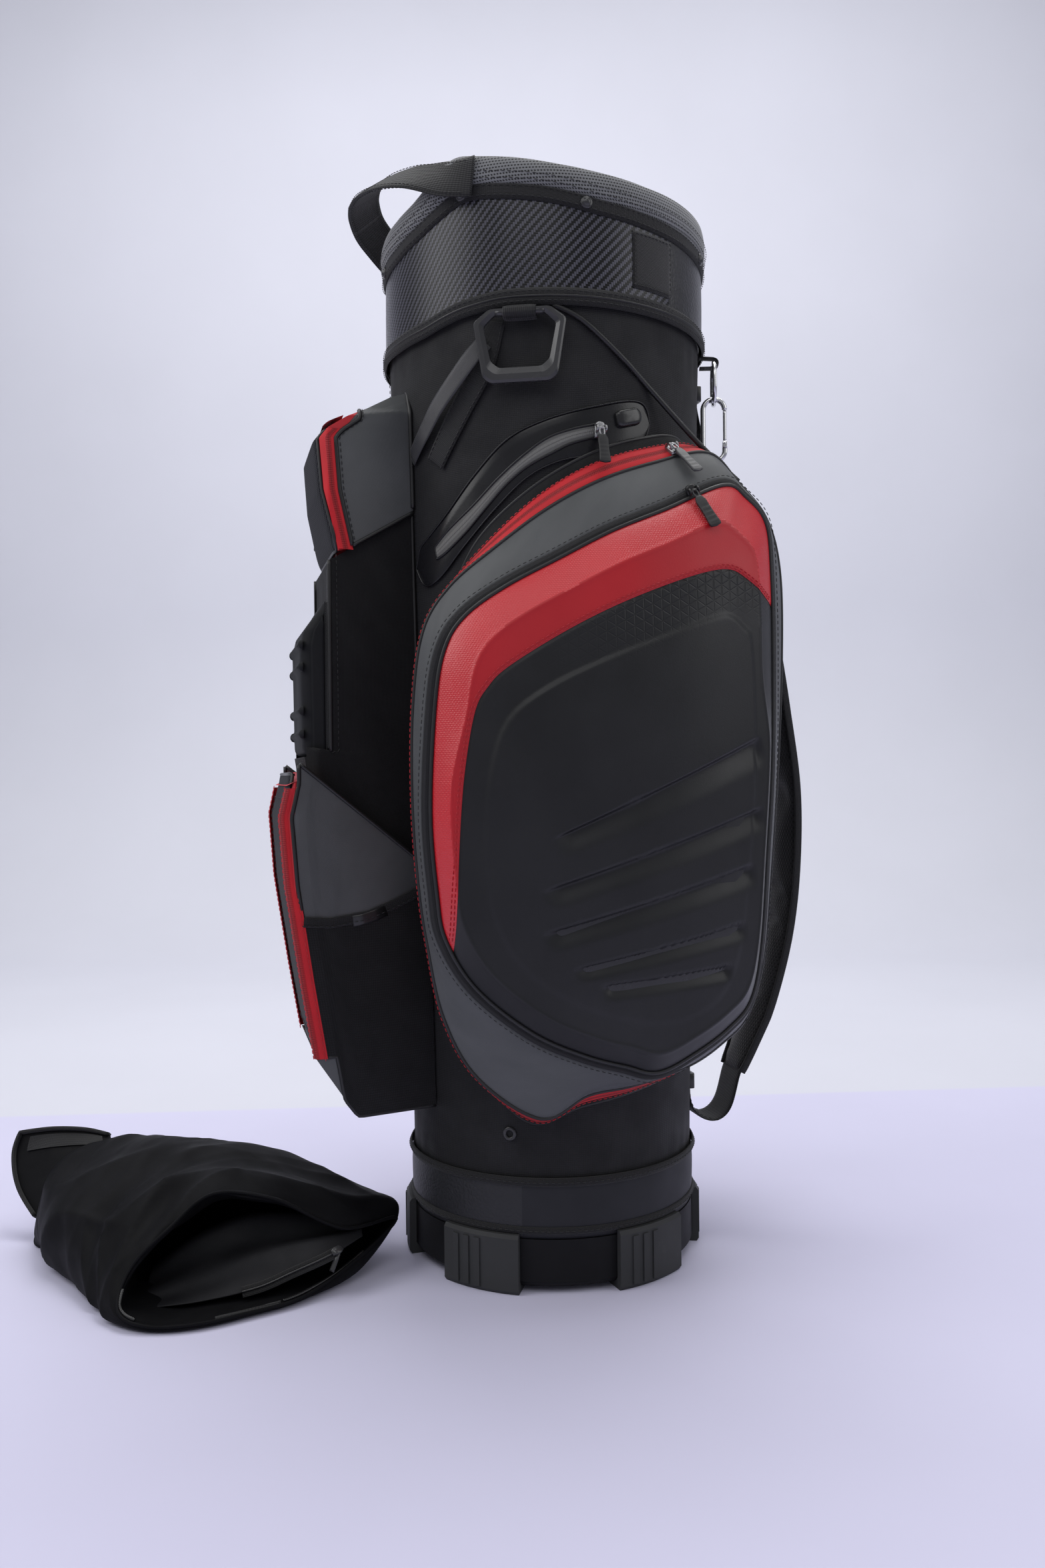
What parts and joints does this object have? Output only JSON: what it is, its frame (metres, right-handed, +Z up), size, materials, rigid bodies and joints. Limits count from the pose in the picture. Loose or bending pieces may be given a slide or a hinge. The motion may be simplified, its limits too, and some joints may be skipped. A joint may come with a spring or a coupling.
{
  "type": "golf cart bag",
  "caption": "Upright golf cart bag with a divided top, padded rim, moulded side pockets, front pocket column, shoulder strap and a loose rain hood.",
  "frame": {"origin": "centre of the base cup's underside, on the ground", "axes": "+Z up along the tube; the front pocket column faces -Y, the shoulder strap is at +Y, the side pockets are at +X and -X"},
  "size_m": [0.384, 0.6916, 0.9248],
  "materials": {
    "moulded_black": "satin",
    "grey_rubber": "matte",
    "trim_fabric": "pebbled",
    "binding": "woven",
    "shell_fabric": "woven, coated",
    "liner_board": "matte",
    "fibreglass": "smooth",
    "divider_fabric": "brushed",
    "divider_moulding": "satin",
    "collar_fabric": "twill sheen",
    "rim_padding": "mesh over foam",
    "satin_black": "semi-gloss",
    "satin_webbing": "satin",
    "welded_panel": "satin",
    "grey_zip": "coil",
    "red_zip": "water-resistant tape",
    "black_zip": "coil",
    "grey_fabric": "woven",
    "red_moulding": "semi-gloss",
    "cover_fabric": "twill sheen",
    "embossed_cover": "matte",
    "metal": "satin",
    "pull_rubber": "matte",
    "bright_wire": "polished",
    "strap_padding": "air mesh",
    "hood_fabric": "woven nylon"
  },
  "bodies": {
    "bag": {"base_cup": "moulded_black", "foot_lugs": "grey_rubber", "lower_band": "trim_fabric", "binding_tapes": "binding", "body_shell": "shell_fabric", "tube_liner": "liner_board", "spine_stays": "fibreglass", "divider_panels": "divider_fabric", "divider_top": "divider_moulding", "cuff_ring": "moulded_black", "collar_band": "collar_fabric", "rim_pad": "rim_padding", "snap_studs": "moulded_black", "collar_patches": "collar_fabric", "grab_handle": "binding", "ring_tabs": "binding", "satin_strap": "satin_webbing", "valuables_panel": "welded_panel", "valuables_zip": "grey_zip", "zip_garage": "welded_panel", "valuables_slider": "metal", "side_walls": "shell_fabric", "red_side_zips": "red_zip", "accessory_shell": "grey_fabric", "accessory_zip": "red_zip", "accessory_slider": "metal", "mid_panel": "shell_fabric", "mid_zip": "black_zip", "ball_shell": "grey_fabric", "ball_zip": "red_zip", "ball_slider": "metal", "slip_pockets": "shell_fabric", "strap_pad": "strap_padding", "strap_webbing": "binding", "strap_hardware": "moulded_black"},
    "gusset_right": {"gusset_right": "grey_fabric", "lid_zip_right": "black_zip", "red_slider_right": "metal"},
    "gusset_left": {"gusset_left": "grey_fabric", "lid_zip_left": "black_zip", "red_slider_left": "metal"},
    "lid_right": {"lid_right": "red_moulding", "lid_slider_right": "metal"},
    "lid_left": {"lid_left": "red_moulding", "lid_slider_left": "metal"},
    "red_pull_right": {"red_pull_right": "pull_rubber"},
    "red_pull_left": {"red_pull_left": "pull_rubber"},
    "lid_pull_right": {"lid_pull_right": "pull_rubber"},
    "lid_pull_left": {"lid_pull_left": "pull_rubber"},
    "valuables_pull": {"valuables_pull": "pull_rubber"},
    "accessory_pull": {"accessory_pull": "pull_rubber"},
    "ball_pull": {"ball_pull": "pull_rubber"},
    "accessory_cover": {"accessory_cover": "cover_fabric"},
    "mid_cover": {"mid_cover": "embossed_cover"},
    "ball_cover": {"ball_cover": "cover_fabric"},
    "towel_ring": {"towel_ring": "satin_black"},
    "oval_ring": {"oval_ring": "bright_wire"},
    "carabiner": {"carabiner": "bright_wire"},
    "carabiner_gate": {"carabiner_gate": "bright_wire"},
    "rain_hood": {"rain_hood": "hood_fabric"}
  },
  "joints": [
    {"name": "right_gusset_open", "type": "hinge", "parent": "bag", "child": "gusset_right", "pos_m": [0.118, 0.174, 0.4], "axis": [0, 0, 1], "range_deg": [0, 30]},
    {"name": "left_gusset_open", "type": "hinge", "parent": "bag", "child": "gusset_left", "pos_m": [-0.118, 0.174, 0.4], "axis": [0, 0, -1], "range_deg": [0, 30]},
    {"name": "right_lid_open", "type": "hinge", "parent": "gusset_right", "child": "lid_right", "pos_m": [0.1495, 0.143, 0.4], "axis": [0, 0, 1], "range_deg": [0, 80]},
    {"name": "left_lid_open", "type": "hinge", "parent": "gusset_left", "child": "lid_left", "pos_m": [-0.1495, 0.143, 0.4], "axis": [0, 0, -1], "range_deg": [0, 80]},
    {"name": "right_red_pull", "type": "hinge", "parent": "gusset_right", "child": "red_pull_right", "pos_m": [0.14202, 0.066, 0.68066], "axis": [0.2784, -0.9272, -0.2507], "range_deg": [0, 100]},
    {"name": "left_red_pull", "type": "hinge", "parent": "gusset_left", "child": "red_pull_left", "pos_m": [-0.14202, 0.066, 0.68066], "axis": [0.2784, 0.9272, 0.2507], "range_deg": [0, 100]},
    {"name": "right_lid_pull", "type": "hinge", "parent": "lid_right", "child": "lid_pull_right", "pos_m": [0.1697, 0.072, 0.6375], "axis": [0, -0.9272, -0.3746], "range_deg": [0, 100]},
    {"name": "left_lid_pull", "type": "hinge", "parent": "lid_left", "child": "lid_pull_left", "pos_m": [-0.1697, 0.072, 0.6375], "axis": [0, 0.9272, 0.3746], "range_deg": [0, 100]},
    {"name": "valuables_pull_swing", "type": "hinge", "parent": "bag", "child": "valuables_pull", "pos_m": [0.14484, 0.00506, 0.689], "axis": [0.0349, -0.9994, 0], "range_deg": [0, 110]},
    {"name": "accessory_pull_swing", "type": "hinge", "parent": "bag", "child": "accessory_pull", "pos_m": [-0.06757, -0.19554, 0.65], "axis": [0.2425, 0.9701, 0], "range_deg": [0, 110]},
    {"name": "ball_pull_swing", "type": "hinge", "parent": "bag", "child": "ball_pull", "pos_m": [-0.08139, -0.22562, 0.33], "axis": [0.2303, 0.9731, 0], "range_deg": [0, 110]},
    {"name": "accessory_cover_open", "type": "hinge", "parent": "bag", "child": "accessory_cover", "pos_m": [0, -0.197, 0.601], "axis": [1, 0, 0], "range_deg": [0, 70]},
    {"name": "mid_cover_open", "type": "hinge", "parent": "bag", "child": "mid_cover", "pos_m": [0, -0.222, 0.434], "axis": [1, 0, 0], "range_deg": [0, 80]},
    {"name": "ball_cover_open", "type": "hinge", "parent": "bag", "child": "ball_cover", "pos_m": [0, -0.216, 0.191], "axis": [1, 0, 0], "range_deg": [0, 75]},
    {"name": "towel_ring_swing", "type": "hinge", "parent": "bag", "child": "towel_ring", "pos_m": [0.13251, -0.05762, 0.779], "axis": [-0.3987, -0.9171, 0], "range_deg": [0, 110]},
    {"name": "oval_ring_swing", "type": "hinge", "parent": "bag", "child": "oval_ring", "pos_m": [0.05165, 0.14189, 0.78], "axis": [0.9397, -0.342, 0], "range_deg": [0, 90]},
    {"name": "carabiner_swing", "type": "hinge", "parent": "oval_ring", "child": "carabiner", "pos_m": [0.05165, 0.14189, 0.744], "axis": [0.9397, -0.342, 0], "range_deg": [0, 60]},
    {"name": "gate_open", "type": "hinge", "parent": "carabiner", "child": "carabiner_gate", "pos_m": [0.05489, 0.15082, 0.70915], "axis": [0.9397, -0.342, 0], "range_deg": [0, 20], "stiffness_Nm_per_rad": 0.02, "springref_deg": -11.46},
    {"name": "hood_lift_away", "type": "slide", "parent": "bag", "child": "rain_hood", "axis": [0, -1, 0], "range_m": [0, 0.3]}
  ]
}
